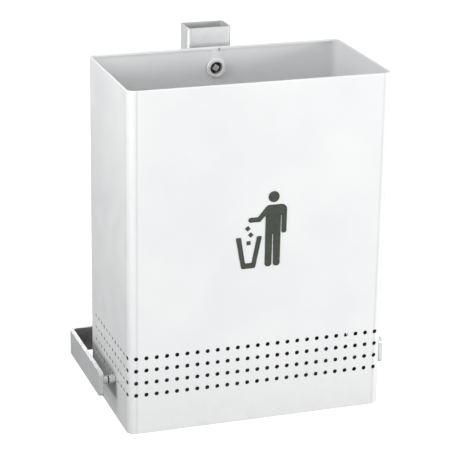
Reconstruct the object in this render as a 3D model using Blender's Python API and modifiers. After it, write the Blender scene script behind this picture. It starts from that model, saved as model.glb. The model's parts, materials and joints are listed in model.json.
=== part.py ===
"""Wall-hung litter bin that tips forward: a steel bracket, a perforated sheet bin and a square-key cam lock.

Metres, +Z up, the bin faces -Y. The origin is the middle of the post's wall face.
"""

import math

import bmesh
import bpy
from mathutils import Matrix, Vector

ASSEMBLY = "dog_waste_bin"

# Clearances
GAP = 0.0003
MERGE = 0.00001
JOIN = 0.0005

# Bin
BIN_WIDTH = 0.370
BIN_DEPTH = 0.200
BIN_HEIGHT = 0.485
CORNER = 0.012
SHEET = 0.0015
HEM_HEIGHT = 0.0045
LAP_WIDTH = 0.015
LAP_SHEET = 0.0012
RIM_NOTCH_X = 0.0046
RIM_NOTCH = (0.0036, 0.0058)
RIM_BRIDGE = 0.0014
CORNER_STEPS = 6

# Perforated band
HOLE_RADIUS = 0.0030
HOLE_SIDES = 6
HOLE_PITCH = 0.0145
ROW_PITCH = 0.0179
HOLE_ROWS = 4
LOWEST_ROW = 0.0573
HOLE_MARGIN = 0.006

# Floor pan, with its edge turned down
PAN_RISE = 0.004
PAN_WALL = 0.006
DRAIN_RADIUS = 0.004
DRAIN_SPREAD = (0.130, 0.055)

# Bracket
POST_WIDTH = 0.064
POST_DEPTH = 0.040
POST_WALL = 0.003
POST_CORNER = 0.005
POST_LENGTH = 0.476
POST_ABOVE_BIN_FOOT = 0.030
BAR_THICK = 0.006
BAR_HEIGHT = 0.036
BAR_BEND = 0.011
BAR_END_CORNER = 0.006
STANDOFF = 0.020
FIXING_HEIGHTS = (0.070, -0.150)
FIXING_RADIUS = 0.0045
ACCESS_RADIUS = 0.009

# Pivots, measured out from each side of the bin
PIVOT_FROM_FRONT = 0.070
PIVOT_ABOVE_FOOT = 0.055
ARM_PAST_PIVOT = 0.016
SCREW_RADIUS = 0.004
SCREW_FIT = 0.00015
BUSH_RADIUS = 0.0065
BUSH_LENGTH = 0.0092
SPIGOT_RADIUS = 0.0055
SPIGOT_DEPTH = 0.0026
BOSS_RADIUS = 0.0056
WASHER_RADIUS = 0.0050
WASHER_THICK = 0.0008
HEAD_RADIUS = 0.007
HEAD_HEIGHT = 0.0045
SOCKET_SIZE = 0.005

# Buffers between post and bin
BUFFER_X = 0.018
BUFFER_BELOW_LOCK = 0.075
BUFFER_RADIUS = 0.009
STEM_RADIUS = 0.003
STEM_LENGTH = 0.007

# Lock, measured towards the viewer from the lap on the rear wall
LOCK_ABOVE_FOOT = 0.4545
FLANGE_RADIUS = 0.014
FLANGE_THICK = 0.003
BARREL_RADIUS = 0.011
RECESS_RADIUS = 0.009
RECESS_DEPTH = 0.012
SHAFT_RADIUS = 0.0059
LOCK_FIT = 0.0002
NUT_FLATS = 0.027
NUT_THICK = 0.005
KEY_SIZE = 0.008
KEY_TURN = math.radians(-33)
KEY_BELOW_FLANGE = 0.0030
DISC_THICK = 0.003
TAIL_SIZE = 0.007
CAM_THICK = 0.003
CAM_HALF_WIDTH = 0.007
CAM_REACH = 0.024
CAM_SCREW_RADIUS = 0.0024
CAM_SCREW_HEAD = (0.0045, 0.003)
CAM_WASHER_RADIUS = 0.006
SLOT_HALF_WIDTH = 0.0085
SLOT_ABOVE = 0.014
SLOT_BELOW = 0.028

# Pictogram, in metres from its middle on the bin's front
SIGN_MIDDLE = 0.003
SIGN_HEIGHT = 0.278
SIGN_THICK = 0.0004
HEAD_CENTRE = (0.0155, 0.047)
HEAD_DISC = 0.0078
FIGURE = (
    (0.0040, -0.0520, 0.0042), (0.0137, -0.0520, 0.0042), (0.0142, -0.0060, 0.0005),
    (0.0154, -0.0060, 0.0005), (0.0160, -0.0520, 0.0042), (0.0256, -0.0520, 0.0042),
    (0.0260, 0.0200, 0.0004), (0.0272, 0.0200, 0.0004), (0.0272, -0.0056, 0.0030),
    (0.0343, -0.0056, 0.0034), (0.0346, 0.0358, 0.0080), (0.0065, 0.0358, 0.0070),
    (-0.0066, 0.0200, 0.0030), (-0.0204, 0.0200, 0.0034), (-0.0204, 0.0130, 0.0034),
    (-0.0036, 0.0130, 0.0030), (0.0042, 0.0216, 0.0008),
)
BASKET = (
    (-0.0378, -0.0072, 0.0010), (-0.0294, -0.0524, 0.0030), (-0.0098, -0.0524, 0.0030),
    (-0.0007, -0.0072, 0.0010), (-0.0076, -0.0072, 0.0010), (-0.0147, -0.0445, 0.0015),
    (-0.0243, -0.0445, 0.0015), (-0.0306, -0.0072, 0.0010),
)
LITTER = ((-0.0210, 0.0049, 38), (-0.0167, -0.0044, 42), (-0.0196, -0.0158, 4))
LITTER_SIZE = 0.0056

# Places that follow from the sizes
BIN_FOOT = -POST_LENGTH / 2 - POST_ABOVE_BIN_FOOT
BIN_RIM = BIN_FOOT + BIN_HEIGHT
BIN_REAR = -(POST_DEPTH + BAR_THICK + STANDOFF)
BIN_FRONT = BIN_REAR - BIN_DEPTH
PIVOT = Vector((0, BIN_FRONT + PIVOT_FROM_FRONT, BIN_FOOT + PIVOT_ABOVE_FOOT))
LOCK = Vector((0, BIN_REAR - SHEET - LAP_SHEET, BIN_FOOT + LOCK_ABOVE_FOOT))
CAM_FACE = -POST_DEPTH + POST_WALL + 0.0005


# Scene helpers

def new_collection(name):
    group = bpy.data.collections.new(name)
    bpy.context.scene.collection.children.link(group)
    return group


def coat(name, colour, roughness, metallic=0.0):
    made = bpy.data.materials.new(name)
    made.use_nodes = True
    shader = made.node_tree.nodes["Principled BSDF"]
    shader.inputs["Base Color"].default_value = (*colour, 1)
    shader.inputs["Roughness"].default_value = roughness
    shader.inputs["Metallic"].default_value = metallic
    return made


def add(name, mesh, finish, matrix=Matrix()):
    """A named piece of the bin, smooth where its faces meet gently."""
    piece = bpy.data.objects.new(name, mesh)
    PIECES.objects.link(piece)
    piece.matrix_world = matrix
    mesh.materials.append(finish)
    mesh.shade_smooth()
    mesh.set_sharp_from_angle(angle=math.radians(35))
    return piece


def cutter(name, mesh, matrix=Matrix()):
    """A shape that joins or cuts a piece and isn't a piece itself."""
    shape = bpy.data.objects.new(name, mesh)
    CUTTERS.objects.link(shape)
    shape.matrix_world = matrix
    shape.hide_render = True
    shape.display_type = "WIRE"
    return shape


def combine(piece, shape, operation):
    step = piece.modifiers.new(shape.name, "BOOLEAN")
    step.operation = operation
    step.solver = "EXACT"
    step.object = shape


def mesh_from(form, name):
    mesh = bpy.data.meshes.new(name)
    form.to_mesh(mesh)
    form.free()
    return mesh


def box_mesh(name, low, high, turn=0.0):
    """A box between two corners, turned about its own middle on Z."""
    size = [high[i] - low[i] for i in range(3)]
    middle = Vector([(high[i] + low[i]) / 2 for i in range(3)])
    form = bmesh.new()
    bmesh.ops.create_cube(form, size=1, matrix=Matrix.Diagonal((*size, 1)))
    bmesh.ops.transform(form, matrix=Matrix.Rotation(turn, 4, "Z"), verts=form.verts)
    bmesh.ops.translate(form, vec=middle, verts=form.verts)
    return mesh_from(form, name)


def rod_mesh(name, radius, low, high, sides=24, turn=0.0):
    """A cylinder or prism on Z from low to high."""
    form = bmesh.new()
    place = Matrix.Translation((0, 0, (low + high) / 2)) @ Matrix.Rotation(turn, 4, "Z")
    bmesh.ops.create_cone(form, cap_ends=True, segments=sides, radius1=radius, radius2=radius,
                          depth=high - low, matrix=place)
    return mesh_from(form, name)


def turned(name, profile, finish, matrix, closed, steps=24):
    """A piece turned on Z: its profile runs down the outer side, top to bottom."""
    mesh = bpy.data.meshes.new(name)
    edges = [(i, i + 1) for i in range(len(profile) - 1)]
    if closed:
        edges.append((len(profile) - 1, 0))
    mesh.from_pydata([(r, 0, z) for r, z in profile], edges, [])
    piece = add(name, mesh, finish, matrix)
    spin = piece.modifiers.new("turn", "SCREW")
    spin.steps = steps
    spin.render_steps = steps
    spin.use_merge_vertices = True
    spin.merge_threshold = MERGE
    spin.use_smooth_shade = True
    return piece


def ring(outer, bore, low, high, chamfer=0.0):
    """The closed profile of a ring, chamfered on its outer top edge."""
    return [(outer - chamfer, high), (outer, high - chamfer), (outer, low), (bore, low), (bore, high)]


def flat_mesh(name, outlines, thickness):
    """A plate from closed outlines; an outline inside another is a hole."""
    curve = bpy.data.curves.new(name, "CURVE")
    curve.dimensions = "2D"
    curve.fill_mode = "BOTH"
    curve.extrude = thickness / 2
    for points in outlines:
        line = curve.splines.new("POLY")
        line.points.add(len(points) - 1)
        line.use_cyclic_u = True
        for spot, (x, y) in zip(line.points, points):
            spot.co = (x, y, 0, 1)
    drawn = bpy.data.objects.new(name, curve)
    CUTTERS.objects.link(drawn)
    bpy.context.view_layer.update()
    evaluated = drawn.evaluated_get(bpy.context.evaluated_depsgraph_get())
    mesh = bpy.data.meshes.new_from_object(evaluated)
    bpy.data.objects.remove(drawn)
    form = bmesh.new()
    form.from_mesh(mesh)
    bmesh.ops.remove_doubles(form, verts=form.verts, dist=MERGE)
    form.to_mesh(mesh)
    form.free()
    mesh.name = name
    return mesh


# Outlines

def arc(centre, radius, start, end, steps):
    """Points on an arc, angles in degrees."""
    angles = [math.radians(start + (end - start) * i / steps) for i in range(steps + 1)]
    return [(centre[0] + radius * math.cos(a), centre[1] + radius * math.sin(a)) for a in angles]


def softened(corners, steps):
    """An outline from corners of x, y and radius, each rounded by an arc between its tangent points."""
    points = []
    for i, (x, y, radius) in enumerate(corners):
        corner = Vector((x, y))
        before = (Vector(corners[i - 1][:2]) - corner).normalized()
        after = (Vector(corners[(i + 1) % len(corners)][:2]) - corner).normalized()
        half = before.angle(after) / 2
        centre = corner + (before + after).normalized() * radius / math.sin(half)
        start = corner + before * radius / math.tan(half) - centre
        end = corner + after * radius / math.tan(half) - centre
        for step in range(steps + 1):
            spoke = start.lerp(end, step / steps).normalized() * radius
            points.append(tuple(centre + spoke))
    return points


def rounded_rectangle(width, depth, radius, middle_y, steps):
    """Corner arcs in anticlockwise order from the rear right."""
    x = width / 2 - radius
    y = depth / 2 - radius
    points = []
    for quarter, (side, back) in enumerate(((1, 1), (-1, 1), (-1, -1), (1, -1))):
        centre = (side * x, middle_y + back * y)
        points += arc(centre, radius, 90 * quarter, 90 * quarter + 90, steps)
    return points


def wall(name, outline, low, high, thickness, finish, closed_top=False):
    """A wall standing on an outline and thickened inwards, closed at the top if asked."""
    form = bmesh.new()
    feet = [form.verts.new((x, y, low)) for x, y in outline]
    tops = [form.verts.new((x, y, high)) for x, y in outline]
    for i in range(len(outline)):
        j = (i + 1) % len(outline)
        form.faces.new((feet[i], feet[j], tops[j], tops[i]))
    if closed_top:
        form.faces.new(tops)
    mesh = mesh_from(form, name)
    piece = add(name, mesh, finish) if finish else cutter(name, mesh)
    thicken = piece.modifiers.new("thickness", "SOLIDIFY")
    thicken.thickness = thickness
    thicken.offset = -1
    thicken.use_even_offset = True
    return piece


def bin_outline(inset):
    return rounded_rectangle(BIN_WIDTH - 2 * inset, BIN_DEPTH - 2 * inset, CORNER - inset,
                             (BIN_FRONT + BIN_REAR) / 2, CORNER_STEPS)


# Perforated band

def band_stations():
    """Each column of holes: its place on the bin's outside and the way its holes point.

    The columns are a pitch apart along the sheet, from the middle of the front round to the sides,
    and stop a pitch or more short of the rear bends.
    """
    flat = BIN_WIDTH / 2 - CORNER
    bend = CORNER * math.pi / 2
    side = BIN_DEPTH - 2 * CORNER
    stations = []
    along = 0.0
    while along < flat + bend + side - HOLE_PITCH:
        if along < flat:
            spot = (along, BIN_FRONT)
            facing = -90.0
        elif along < flat + bend:
            facing = -90 + math.degrees((along - flat) / CORNER)
            spot = arc((flat, BIN_FRONT + CORNER), CORNER, facing, facing, 1)[0]
        else:
            facing = 0.0
            spot = (BIN_WIDTH / 2, BIN_FRONT + CORNER + along - flat - bend)
        stations.append((spot, facing))
        if along > 0:
            stations.append(((-spot[0], spot[1]), 180 - facing))
        along += HOLE_PITCH
    return stations


def near_pivot(x, y, z):
    """A hole that the bush on the side would cover is left out."""
    beside = abs(x) > BIN_WIDTH / 2 - MERGE
    return beside and math.hypot(y - PIVOT.y, z - PIVOT.z) < BUSH_RADIUS + HOLE_RADIUS


def band_cutters():
    form = bmesh.new()
    for (x, y), facing in band_stations():
        for row in range(HOLE_ROWS):
            z = BIN_FOOT + LOWEST_ROW + row * ROW_PITCH
            if near_pivot(x, y, z):
                continue
            turn = Matrix.Rotation(math.radians(facing), 4, "Z") @ Matrix.Rotation(math.pi / 2, 4, "Y")
            bmesh.ops.create_cone(form, cap_ends=True, segments=HOLE_SIDES, radius1=HOLE_RADIUS,
                                  radius2=HOLE_RADIUS, depth=HOLE_MARGIN,
                                  matrix=Matrix.Translation((x, y, z)) @ turn)
    return cutter("band_holes", mesh_from(form, "band_holes"))


# Places of turned pieces

def side_place(side):
    """Z points out of the bin's side, from its face; side is 1 for right and -1 for left."""
    spot = Matrix.Translation((side * BIN_WIDTH / 2, PIVOT.y, PIVOT.z))
    return spot @ Matrix.Rotation(side * math.pi / 2, 4, "Y")


def lock_place():
    """Z points into the bin from the lap, Y points up."""
    return Matrix.Translation(LOCK) @ Matrix.Rotation(math.pi / 2, 4, "X")


def behind_lap(y):
    """A world Y as a height on the lock's axis."""
    return LOCK.y - y


# Bin

def make_shell(white):
    shell = wall("bin_shell", bin_outline(0), BIN_FOOT, BIN_RIM, SHEET, white)
    hem = wall("hem_band", bin_outline(SHEET - JOIN), BIN_RIM - HEM_HEIGHT, BIN_RIM - MERGE,
               SHEET + JOIN, None)
    combine(shell, hem, "UNION")
    lap_low = (-LAP_WIDTH / 2, LOCK.y, BIN_FOOT + PAN_RISE + PAN_WALL + 0.002)
    lap_high = (LAP_WIDTH / 2, BIN_REAR - SHEET + JOIN, BIN_RIM - HEM_HEIGHT / 2)
    combine(shell, cutter("lap_strip", box_mesh("lap_strip", lap_low, lap_high)), "UNION")
    combine(shell, band_cutters(), "DIFFERENCE")
    across = rod_mesh("pivot_bore", SPIGOT_RADIUS + GAP, -BIN_WIDTH, BIN_WIDTH)
    across_place = Matrix.Translation(PIVOT) @ Matrix.Rotation(math.pi / 2, 4, "Y")
    combine(shell, cutter("pivot_bore", across, across_place), "DIFFERENCE")
    bore = rod_mesh("lock_bore", BARREL_RADIUS + GAP, -0.010, 0.010)
    combine(shell, cutter("lock_bore", bore, lock_place()), "DIFFERENCE")
    notch_top = BIN_RIM - RIM_BRIDGE
    notch_low = (RIM_NOTCH_X - RIM_NOTCH[0] / 2, BIN_REAR - 0.010, notch_top - RIM_NOTCH[1])
    notch_high = (RIM_NOTCH_X + RIM_NOTCH[0] / 2, BIN_REAR + 0.010, notch_top)
    combine(shell, cutter("rim_notch", box_mesh("rim_notch", notch_low, notch_high)), "DIFFERENCE")
    return shell


def make_floor(white):
    low = BIN_FOOT + PAN_RISE
    top = low + PAN_WALL
    pan = wall("bin_floor", bin_outline(SHEET + GAP), low, top, SHEET, white, closed_top=True)
    middle_y = (BIN_FRONT + BIN_REAR) / 2
    for i, (x, y) in enumerate(((1, 1), (-1, 1), (-1, -1), (1, -1))):
        spot = Matrix.Translation((x * DRAIN_SPREAD[0], middle_y + y * DRAIN_SPREAD[1], top))
        drain = rod_mesh(f"drain_{i}", DRAIN_RADIUS, -0.005, 0.005, sides=12)
        combine(pan, cutter(f"drain_{i}", drain, spot), "DIFFERENCE")
    return pan


def make_bush(side, label, steel):
    bore = SCREW_RADIUS + SCREW_FIT
    chamfer = 0.001
    profile = [
        (BUSH_RADIUS - chamfer, BUSH_LENGTH), (BUSH_RADIUS, BUSH_LENGTH - chamfer), (BUSH_RADIUS, GAP),
        (SPIGOT_RADIUS, GAP), (SPIGOT_RADIUS, -SPIGOT_DEPTH), (bore, -SPIGOT_DEPTH), (bore, BUSH_LENGTH),
    ]
    return turned(f"pivot_bush_{label}", profile, steel, side_place(side), True)


def sign_piece(name, outline, ink):
    """A thin flat shape on the bin's front."""
    front = Matrix.Translation((SIGN_MIDDLE, BIN_FRONT - GAP - SIGN_THICK / 2, BIN_FOOT + SIGN_HEIGHT))
    mesh = flat_mesh(name, [outline], SIGN_THICK)
    return add(name, mesh, ink, front @ Matrix.Rotation(math.pi / 2, 4, "X"))


def make_sign(ink):
    pieces = [sign_piece("sign_head", arc(HEAD_CENTRE, HEAD_DISC, 0, 345, 23), ink)]
    pieces.append(sign_piece("sign_body", softened(FIGURE, 4), ink))
    pieces.append(sign_piece("sign_basket", softened(BASKET, 3), ink))
    for i, (x, y, turn) in enumerate(LITTER):
        square = arc((x, y), LITTER_SIZE / math.sqrt(2), turn + 45, turn + 315, 3)
        pieces.append(sign_piece(f"sign_litter_{i + 1}", square, ink))
    return pieces


# Lock

def make_housing(chrome):
    """Flange and barrel, with a wide recess for the key and a narrow bore behind it."""
    barrel_end = behind_lap(-POST_DEPTH - 0.001)
    edge = 0.0012
    floor = FLANGE_THICK - RECESS_DEPTH
    bore = SHAFT_RADIUS + LOCK_FIT
    profile = [
        (FLANGE_RADIUS - edge, FLANGE_THICK + GAP), (FLANGE_RADIUS, FLANGE_THICK + GAP - edge),
        (FLANGE_RADIUS, GAP), (BARREL_RADIUS, GAP), (BARREL_RADIUS, barrel_end), (bore, barrel_end),
        (bore, floor), (RECESS_RADIUS, floor), (RECESS_RADIUS, FLANGE_THICK + GAP),
    ]
    return turned("lock_housing", profile, chrome, lock_place(), True, steps=32)


def make_nut(steel):
    """A hexagon with a round bore, on the barrel behind the rear wall."""
    top = behind_lap(BIN_REAR + GAP)
    nut = add("lock_nut", rod_mesh("lock_nut", NUT_FLATS / math.sqrt(3), top - NUT_THICK, top, sides=6),
              steel, lock_place())
    bore = rod_mesh("nut_bore", BARREL_RADIUS + GAP, top - 2 * NUT_THICK, top + NUT_THICK, sides=32)
    combine(nut, cutter("nut_bore", bore, lock_place()), "DIFFERENCE")
    return nut


def square(half, low, high, name, turn=0.0):
    return box_mesh(name, (-half, -half, low), (half, half, high), turn)


def make_driver(dark):
    """Disc and square key post in the recess, shaft through the barrel, square tail for the cam."""
    recess_floor = FLANGE_THICK - RECESS_DEPTH + LOCK_FIT
    key_top = FLANGE_THICK - KEY_BELOW_FLANGE
    shaft_end = behind_lap(CAM_FACE) + LOCK_FIT
    tail_end = behind_lap(CAM_FACE + CAM_THICK)
    driver = add("lock_driver", rod_mesh("lock_driver", SHAFT_RADIUS, shaft_end, recess_floor + JOIN),
                 dark, lock_place())
    disc = rod_mesh("driver_disc", RECESS_RADIUS - LOCK_FIT, recess_floor, recess_floor + DISC_THICK)
    combine(driver, cutter("driver_disc", disc, lock_place()), "UNION")
    key = square(KEY_SIZE / 2, recess_floor + DISC_THICK - JOIN, key_top, "driver_key", KEY_TURN)
    combine(driver, cutter("driver_key", key, lock_place()), "UNION")
    tail = square(TAIL_SIZE / 2, tail_end, shaft_end + JOIN, "driver_tail")
    combine(driver, cutter("driver_tail", tail, lock_place()), "UNION")
    thread = rod_mesh("driver_thread", CAM_SCREW_RADIUS + LOCK_FIT, tail_end - 0.002, tail_end + 0.009,
                      sides=12)
    combine(driver, cutter("driver_thread", thread, lock_place()), "DIFFERENCE")
    return driver


def make_cam(steel):
    """A tongue that hangs from the tail and swings up behind the post's front wall."""
    reach = CAM_REACH - CAM_HALF_WIDTH
    outline = arc((0, 0), CAM_HALF_WIDTH, 0, 180, 10)
    outline += arc((0, -reach), CAM_HALF_WIDTH, 180, 360, 10)
    half = TAIL_SIZE / 2 + LOCK_FIT
    hole = [(half, half), (half, -half), (-half, -half), (-half, half)]
    mesh = flat_mesh("lock_cam", [outline, hole], CAM_THICK)
    middle = Matrix.Translation((0, 0, behind_lap(CAM_FACE + CAM_THICK / 2)))
    return add("lock_cam", mesh, steel, lock_place() @ middle)


def make_cam_fastening(steel):
    face = behind_lap(CAM_FACE + CAM_THICK) - GAP
    washer = ring(CAM_WASHER_RADIUS, CAM_SCREW_RADIUS + LOCK_FIT, face - WASHER_THICK, face)
    head_radius, head_height = CAM_SCREW_HEAD
    seat = face - WASHER_THICK - GAP
    tip = seat + 0.009
    profile = [
        (0, tip), (CAM_SCREW_RADIUS, tip), (CAM_SCREW_RADIUS, seat), (head_radius, seat),
        (head_radius, seat - head_height), (0, seat - head_height),
    ]
    return [
        turned("cam_washer", washer, steel, lock_place(), True),
        turned("cam_screw", profile, steel, lock_place(), False, steps=16),
    ]


# Bracket

def make_post(grey):
    outline = rounded_rectangle(POST_WIDTH, POST_DEPTH, POST_CORNER, -POST_DEPTH / 2, 4)
    post = wall("back_post", outline, -POST_LENGTH / 2, POST_LENGTH / 2, POST_WALL, grey)
    front = (-POST_DEPTH - 0.002, -POST_DEPTH + POST_WALL + 0.002)
    slot = box_mesh("cam_slot", (-SLOT_HALF_WIDTH, front[0], LOCK.z - SLOT_BELOW),
                    (SLOT_HALF_WIDTH, front[1], LOCK.z + SLOT_ABOVE))
    combine(post, cutter("cam_slot", slot), "DIFFERENCE")
    drill = Matrix.Rotation(-math.pi / 2, 4, "X")
    for i, height in enumerate(FIXING_HEIGHTS):
        place = Matrix.Translation((0, 0, height)) @ drill
        access = rod_mesh(f"access_{i}", ACCESS_RADIUS, front[0], front[1], sides=20)
        combine(post, cutter(f"access_{i}", access, place), "DIFFERENCE")
        fixing = rod_mesh(f"fixing_{i}", FIXING_RADIUS, -POST_WALL - 0.002, 0.002, sides=16)
        combine(post, cutter(f"fixing_{i}", fixing, place), "DIFFERENCE")
    for i, x in enumerate((-BUFFER_X, BUFFER_X)):
        place = Matrix.Translation((x, 0, LOCK.z - BUFFER_BELOW_LOCK)) @ drill
        seat = rod_mesh(f"stem_seat_{i}", STEM_RADIUS + GAP, front[0], front[1], sides=16)
        combine(post, cutter(f"stem_seat_{i}", seat, place), "DIFFERENCE")
    return post


def arm_stations(side):
    """The rounded front end of an arm: place on its outer face and half its height."""
    x = side * (BIN_WIDTH / 2 + STANDOFF + BAR_THICK)
    end_y = PIVOT.y - ARM_PAST_PIVOT
    stations = []
    for angle in range(0, 91, 30):
        along = BAR_END_CORNER * (1 - math.cos(math.radians(angle)))
        half = BAR_HEIGHT / 2 - BAR_END_CORNER * (1 - math.sin(math.radians(angle)))
        stations.append((x, end_y + along, half))
    return stations


def make_yoke(grey):
    """One bar from the right arm's end round the back of the bin to the left arm's end."""
    half = BAR_HEIGHT / 2
    bend_x = BIN_WIDTH / 2 + STANDOFF + BAR_THICK - BAR_BEND
    bend_y = -POST_DEPTH - GAP - BAR_BEND
    stations = arm_stations(1)
    for side, start in ((1, 0), (-1, 90)):
        corner = arc((side * bend_x, bend_y), BAR_BEND, start, start + 90, 6)
        stations += [(x, y, half) for x, y in corner]
    stations += reversed(arm_stations(-1))
    form = bmesh.new()
    pairs = [(form.verts.new((x, y, PIVOT.z - h)), form.verts.new((x, y, PIVOT.z + h)))
             for x, y, h in stations]
    for (low, high), (next_low, next_high) in zip(pairs, pairs[1:]):
        form.faces.new((low, next_low, next_high, high))
    yoke = add("yoke_bar", mesh_from(form, "yoke_bar"), grey)
    thicken = yoke.modifiers.new("thickness", "SOLIDIFY")
    thicken.thickness = BAR_THICK
    thicken.offset = -1
    thicken.use_even_offset = True
    return yoke


def make_pivot(side, label, steel, nylon):
    """Boss on the arm, washer, and a shoulder screw with its head inside the bin."""
    place = side_place(side)
    bore = SCREW_RADIUS + SCREW_FIT
    washer_low = BUSH_LENGTH + GAP
    boss_low = washer_low + WASHER_THICK + GAP
    boss_high = STANDOFF - GAP
    boss = ring(BOSS_RADIUS, bore, boss_low, boss_high)
    washer = ring(WASHER_RADIUS, bore, washer_low, washer_low + WASHER_THICK)
    seat = -SPIGOT_DEPTH - 2 * GAP
    edge = 0.0015
    tip = boss_high - 2 * GAP
    profile = [
        (0, tip), (SCREW_RADIUS, tip), (SCREW_RADIUS, seat), (HEAD_RADIUS, seat),
        (HEAD_RADIUS, seat - HEAD_HEIGHT + edge), (HEAD_RADIUS - edge, seat - HEAD_HEIGHT),
        (0, seat - HEAD_HEIGHT),
    ]
    screw = turned(f"pivot_screw_{label}", profile, steel, place, False)
    socket = rod_mesh(f"socket_{label}", SOCKET_SIZE / math.sqrt(3), seat - HEAD_HEIGHT - 0.001,
                      seat - HEAD_HEIGHT / 2, sides=6)
    combine(screw, cutter(f"socket_{label}", socket, place), "DIFFERENCE")
    return [
        turned(f"pivot_boss_{label}", boss, steel, place, True),
        turned(f"pivot_washer_{label}", washer, nylon, place, True),
        screw,
    ]


def make_buffer(side, label, rubber):
    """A rubber buffer from the post to the bin's rear wall, with a stem pushed into the post."""
    place = Matrix.Translation((side * BUFFER_X, -POST_DEPTH, LOCK.z - BUFFER_BELOW_LOCK))
    place = place @ Matrix.Rotation(math.pi / 2, 4, "X")
    top = -BIN_REAR - POST_DEPTH - GAP
    edge = 0.0015
    profile = [
        (0, top), (BUFFER_RADIUS - edge, top), (BUFFER_RADIUS, top - edge), (BUFFER_RADIUS, GAP),
        (STEM_RADIUS, GAP), (STEM_RADIUS, -STEM_LENGTH), (0, -STEM_LENGTH),
    ]
    return turned(f"rest_buffer_{label}", profile, rubber, place, False)


# Assembly

def hang_on(name, spot, pieces, parent=None):
    """An empty on a joint's axis that carries its pieces."""
    axis = bpy.data.objects.new(name, None)
    PIECES.objects.link(axis)
    axis.matrix_world = Matrix.Translation(spot)
    bpy.context.view_layer.update()
    for piece in pieces:
        piece.parent = axis
        piece.matrix_parent_inverse = axis.matrix_world.inverted()
    if parent:
        axis.parent = parent
        axis.matrix_parent_inverse = parent.matrix_world.inverted()
    return axis


def build():
    white = coat("white_coat", (0.83, 0.84, 0.84), 0.42)
    grey = coat("grey_coat", (0.57, 0.58, 0.59), 0.42, 0.4)
    steel = coat("zinc_steel", (0.60, 0.60, 0.58), 0.35, 1.0)
    chrome = coat("lock_chrome", (0.74, 0.74, 0.73), 0.25, 1.0)
    dark = coat("dark_steel", (0.10, 0.10, 0.10), 0.45, 0.8)
    ink = coat("sign_ink", (0.085, 0.095, 0.080), 0.55)
    rubber = coat("black_rubber", (0.03, 0.03, 0.03), 0.75)
    nylon = coat("dark_nylon", (0.05, 0.05, 0.05), 0.55)
    make_post(grey)
    make_yoke(grey)
    bin_pieces = [make_shell(white), make_floor(white), make_housing(chrome), make_nut(steel)]
    bin_pieces += make_sign(ink)
    for side, label in ((-1, "left"), (1, "right")):
        make_pivot(side, label, steel, nylon)
        make_buffer(side, label, rubber)
        bin_pieces.append(make_bush(side, label, steel))
    lock_pieces = [make_driver(dark), make_cam(steel), *make_cam_fastening(steel)]
    bin_axis = hang_on("bin_axis", PIVOT, bin_pieces)
    hang_on("lock_axis", LOCK, lock_pieces, bin_axis)


for old in list(bpy.data.objects):
    bpy.data.objects.remove(old)
PIECES = new_collection(ASSEMBLY)
CUTTERS = new_collection("cutters")
build()
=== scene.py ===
"""Fine meshes, finishes, light and camera for the wall-hung tipping litter bin.

Metres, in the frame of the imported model: +Z up, the bin faces -Y, and the wall is the plane y = 0.
"""
import json
import math

import bmesh
import bpy
from mathutils import Matrix, Vector


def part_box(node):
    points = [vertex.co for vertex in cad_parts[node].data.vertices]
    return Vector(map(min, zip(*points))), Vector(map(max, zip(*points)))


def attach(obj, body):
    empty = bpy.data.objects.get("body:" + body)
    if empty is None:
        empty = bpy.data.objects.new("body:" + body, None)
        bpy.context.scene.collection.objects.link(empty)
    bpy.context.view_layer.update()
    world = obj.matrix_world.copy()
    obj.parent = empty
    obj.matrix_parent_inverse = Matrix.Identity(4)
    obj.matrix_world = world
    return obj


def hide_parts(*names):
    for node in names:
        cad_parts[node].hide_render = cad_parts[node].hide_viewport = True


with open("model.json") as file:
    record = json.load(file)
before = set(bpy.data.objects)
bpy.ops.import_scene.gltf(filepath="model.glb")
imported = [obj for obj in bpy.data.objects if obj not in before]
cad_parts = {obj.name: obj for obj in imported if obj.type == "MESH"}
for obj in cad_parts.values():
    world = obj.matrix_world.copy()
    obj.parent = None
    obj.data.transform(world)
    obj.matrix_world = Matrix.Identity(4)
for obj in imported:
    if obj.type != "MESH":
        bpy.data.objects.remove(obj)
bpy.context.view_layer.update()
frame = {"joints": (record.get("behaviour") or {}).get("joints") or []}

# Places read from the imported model
SHELL_LOW, SHELL_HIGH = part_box("bin_shell")
POST_LOW, POST_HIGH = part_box("back_post")
YOKE_LOW, YOKE_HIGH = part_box("yoke_bar")
FLOOR_LOW, FLOOR_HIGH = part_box("bin_floor")
FOOT = SHELL_LOW.z
RIM = SHELL_HIGH.z
FRONT = SHELL_LOW.y
REAR = SHELL_HIGH.y
HALF_WIDTH = SHELL_HIGH.x
JOINT_SPOTS = {joint["name"]: Vector(joint["pos_m"]) for joint in frame["joints"]}
PIVOT = JOINT_SPOTS["bin_tilt"]
LOCK = JOINT_SPOTS["lock_turn"]

# Clearance between pieces, the length that counts as none, and how far cutters reach past what they cut
GAP = 0.0003
MERGE = 0.00001
PAST = 0.002
REACH = 0.010

# Degrees between two faces from which their edge counts as sharp
SHARP = 50

# Turns Z to the front and Y up
UPRIGHT = Matrix.Rotation(math.pi / 2, 4, "X")

# Bin sheet
CORNER = 0.012
SHEET = 0.0015
HEM_THICK = 0.0030
HEM_HEIGHT = 0.0045
HEM_EDGE = 0.0007
LAP_WIDTH = 0.015
LAP_THICK = 0.0012
LAP_EDGE = 0.0004
LAP_SUNK = 0.0002
LAP_ABOVE_PAN = 0.002
NOTCH_X = 0.0046
NOTCH_SIZE = (0.0036, 0.0058)
RIM_BRIDGE = 0.0014
NOTCH_CORNER = 0.0010
SEAM_WIDTH = 0.0006
SEAM_DEPTH = 0.0004
SEAM_SHORT = 0.002

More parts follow.
